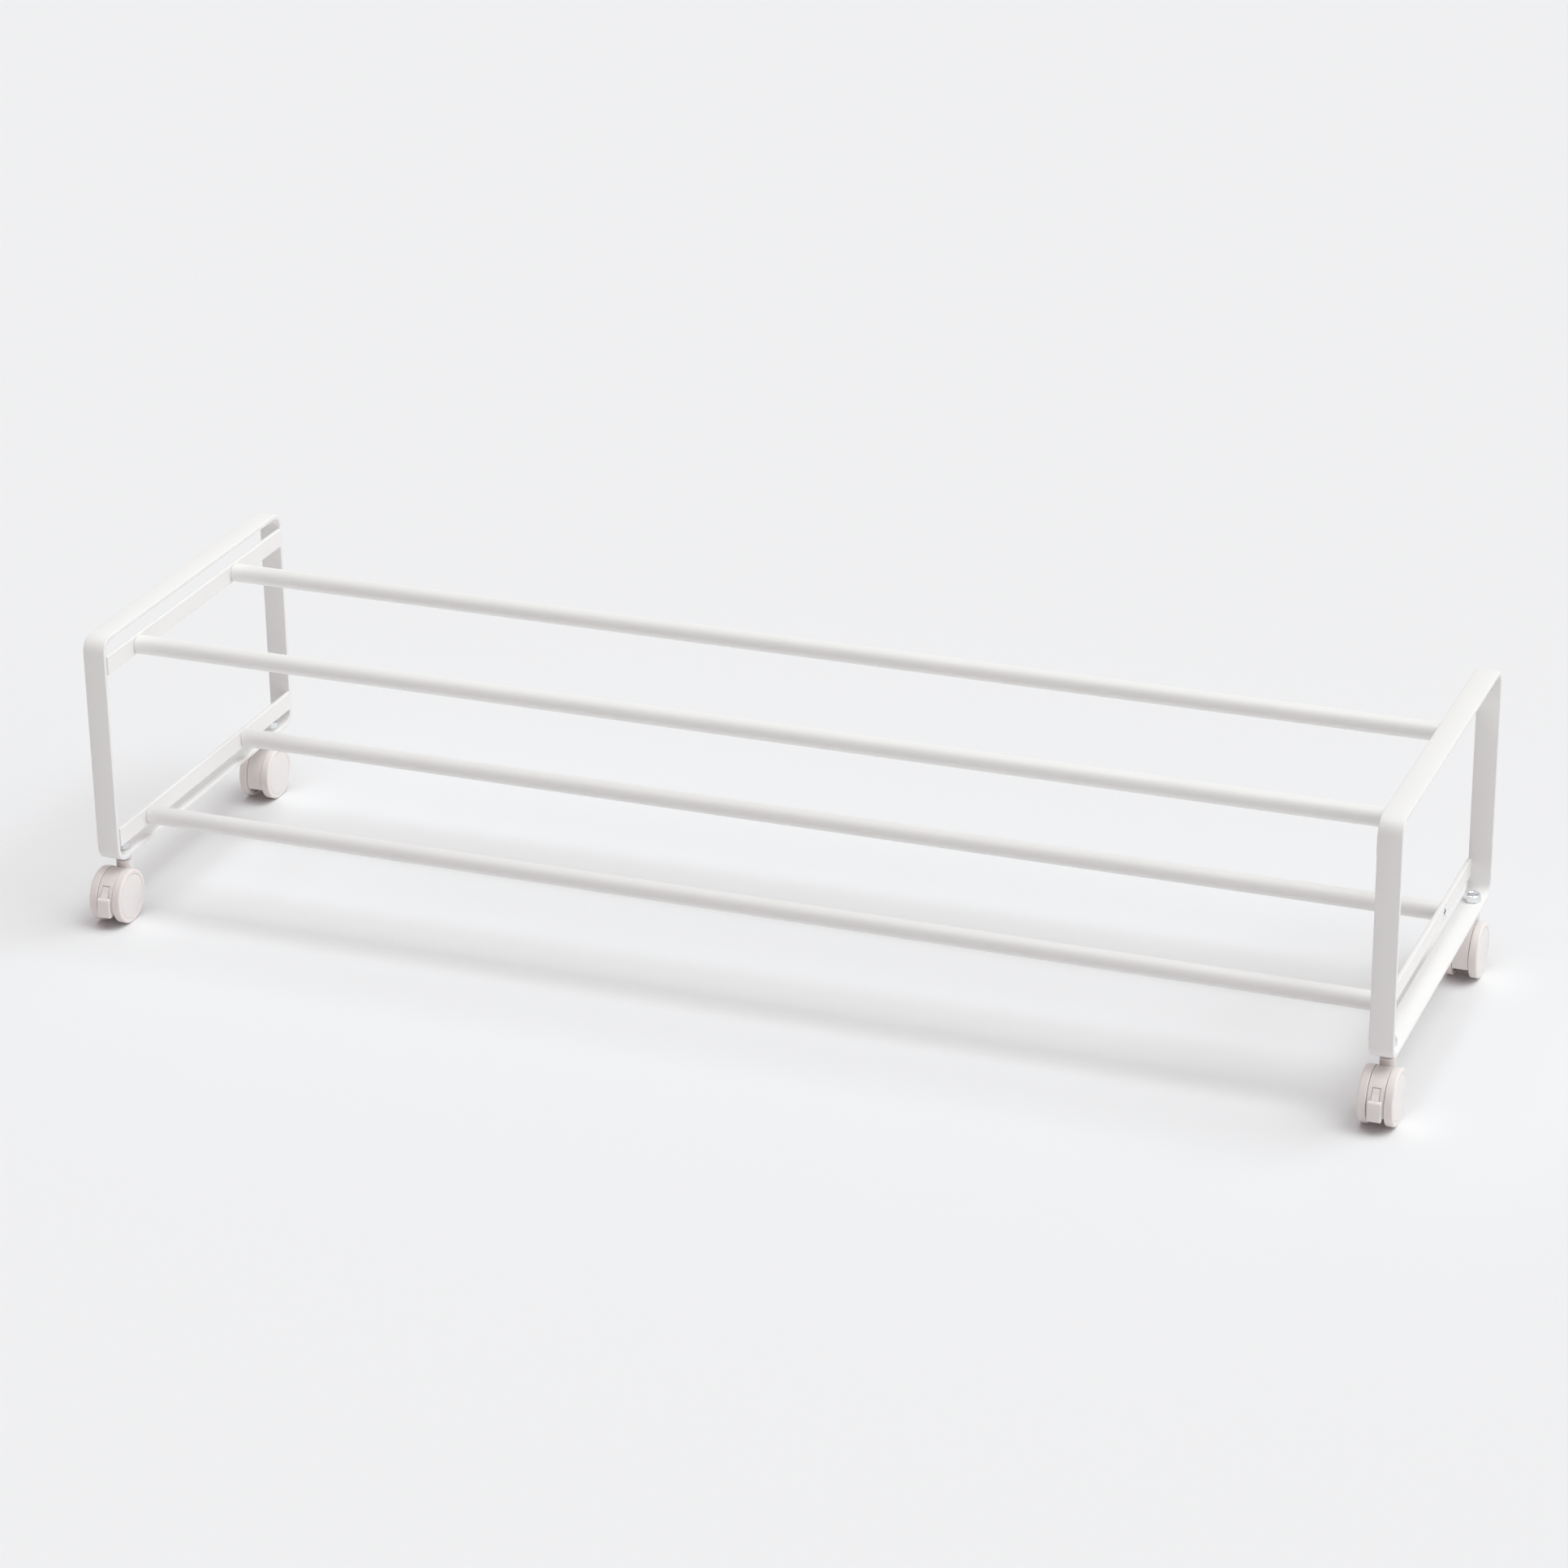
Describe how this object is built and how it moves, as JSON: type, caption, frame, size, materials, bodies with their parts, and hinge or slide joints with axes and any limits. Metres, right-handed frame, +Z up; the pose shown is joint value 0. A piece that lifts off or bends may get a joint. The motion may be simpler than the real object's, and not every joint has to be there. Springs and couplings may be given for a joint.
{
  "type": "rolling shoe rack",
  "caption": "Low open shoe rack: flat-bar end frames joined by tubular rails in two tiers, on twin-wheel swivel casters, the front ones with brake levers.",
  "frame": {"origin": "on the floor, below the middle of the overall box, with all casters trailing to the front", "axes": "+X along the rails to the right, +Y to the rear, +Z up"},
  "size_m": [0.9226, 0.281, 0.2118],
  "materials": {
    "white_steel": "satin white powder coat on steel",
    "zinc_steel": "bright zinc plating",
    "caster_plastic": "moulded off-white plastic",
    "wheel_plastic": "moulded off-white plastic",
    "cap_plastic": "moulded off-white plastic",
    "lever_plastic": "moulded off-white plastic",
    "plug_plastic": "moulded plastic plug, hidden in the rail"
  },
  "bodies": {
    "rack": {"left_end_frame": "white_steel", "left_upper_bar": "white_steel", "left_lower_bar": "white_steel", "right_end_frame": "white_steel", "right_upper_bar": "white_steel", "right_lower_bar": "white_steel", "upper_front_rail": "white_steel", "upper_rear_rail": "white_steel", "lower_front_rail": "white_steel", "lower_rear_rail": "white_steel", "rail_plugs": "plug_plastic", "rail_screws": "zinc_steel", "caster_stems": "zinc_steel", "caster_nuts": "zinc_steel", "stem_clips": "zinc_steel"},
    "front_left_swivel": {"front_left_hood": "caster_plastic", "front_left_axle": "zinc_steel", "front_left_axle_clips": "zinc_steel", "front_left_lever_pin": "zinc_steel"},
    "front_left_wheel_left": {"front_left_wheel_left": "wheel_plastic", "front_left_cap_left": "cap_plastic"},
    "front_left_wheel_right": {"front_left_wheel_right": "wheel_plastic", "front_left_cap_right": "cap_plastic"},
    "front_left_lever": {"front_left_lever": "lever_plastic"},
    "front_right_swivel": {"front_right_hood": "caster_plastic", "front_right_axle": "zinc_steel", "front_right_axle_clips": "zinc_steel", "front_right_lever_pin": "zinc_steel"},
    "front_right_wheel_left": {"front_right_wheel_left": "wheel_plastic", "front_right_cap_left": "cap_plastic"},
    "front_right_wheel_right": {"front_right_wheel_right": "wheel_plastic", "front_right_cap_right": "cap_plastic"},
    "front_right_lever": {"front_right_lever": "lever_plastic"},
    "rear_left_swivel": {"rear_left_hood": "caster_plastic", "rear_left_axle": "zinc_steel", "rear_left_axle_clips": "zinc_steel"},
    "rear_left_wheel_left": {"rear_left_wheel_left": "wheel_plastic", "rear_left_cap_left": "cap_plastic"},
    "rear_left_wheel_right": {"rear_left_wheel_right": "wheel_plastic", "rear_left_cap_right": "cap_plastic"},
    "rear_right_swivel": {"rear_right_hood": "caster_plastic", "rear_right_axle": "zinc_steel", "rear_right_axle_clips": "zinc_steel"},
    "rear_right_wheel_left": {"rear_right_wheel_left": "wheel_plastic", "rear_right_cap_left": "cap_plastic"},
    "rear_right_wheel_right": {"rear_right_wheel_right": "wheel_plastic", "rear_right_cap_right": "cap_plastic"}
  },
  "joints": [
    {"name": "front_left_swivel", "type": "hinge", "parent": "rack", "child": "front_left_swivel", "pos_m": [-0.4495, -0.10705, 0.0416], "axis": [0, 0, 1], "continuous": true},
    {"name": "front_left_wheel_left_spin", "type": "hinge", "parent": "front_left_swivel", "child": "front_left_wheel_left", "pos_m": [-0.4495, -0.11955, 0.019], "axis": [1, 0, 0], "continuous": true},
    {"name": "front_left_wheel_right_spin", "type": "hinge", "parent": "front_left_swivel", "child": "front_left_wheel_right", "pos_m": [-0.4495, -0.11955, 0.019], "axis": [1, 0, 0], "continuous": true},
    {"name": "front_left_lever_lift", "type": "hinge", "parent": "front_left_swivel", "child": "front_left_lever", "pos_m": [-0.4495, -0.13319, 0.0242], "axis": [-1, 0, 0], "range_deg": [0, 15]},
    {"name": "front_right_swivel", "type": "hinge", "parent": "rack", "child": "front_right_swivel", "pos_m": [0.4495, -0.10705, 0.0416], "axis": [0, 0, 1], "continuous": true},
    {"name": "front_right_wheel_left_spin", "type": "hinge", "parent": "front_right_swivel", "child": "front_right_wheel_left", "pos_m": [0.4495, -0.11955, 0.019], "axis": [1, 0, 0], "continuous": true},
    {"name": "front_right_wheel_right_spin", "type": "hinge", "parent": "front_right_swivel", "child": "front_right_wheel_right", "pos_m": [0.4495, -0.11955, 0.019], "axis": [1, 0, 0], "continuous": true},
    {"name": "front_right_lever_lift", "type": "hinge", "parent": "front_right_swivel", "child": "front_right_lever", "pos_m": [0.4495, -0.13319, 0.0242], "axis": [-1, 0, 0], "range_deg": [0, 15]},
    {"name": "rear_left_swivel", "type": "hinge", "parent": "rack", "child": "rear_left_swivel", "pos_m": [-0.4495, 0.11995, 0.0416], "axis": [0, 0, 1], "continuous": true},
    {"name": "rear_left_wheel_left_spin", "type": "hinge", "parent": "rear_left_swivel", "child": "rear_left_wheel_left", "pos_m": [-0.4495, 0.10745, 0.019], "axis": [1, 0, 0], "continuous": true},
    {"name": "rear_left_wheel_right_spin", "type": "hinge", "parent": "rear_left_swivel", "child": "rear_left_wheel_right", "pos_m": [-0.4495, 0.10745, 0.019], "axis": [1, 0, 0], "continuous": true},
    {"name": "rear_right_swivel", "type": "hinge", "parent": "rack", "child": "rear_right_swivel", "pos_m": [0.4495, 0.11995, 0.0416], "axis": [0, 0, 1], "continuous": true},
    {"name": "rear_right_wheel_left_spin", "type": "hinge", "parent": "rear_right_swivel", "child": "rear_right_wheel_left", "pos_m": [0.4495, 0.10745, 0.019], "axis": [1, 0, 0], "continuous": true},
    {"name": "rear_right_wheel_right_spin", "type": "hinge", "parent": "rear_right_swivel", "child": "rear_right_wheel_right", "pos_m": [0.4495, 0.10745, 0.019], "axis": [1, 0, 0], "continuous": true}
  ]
}
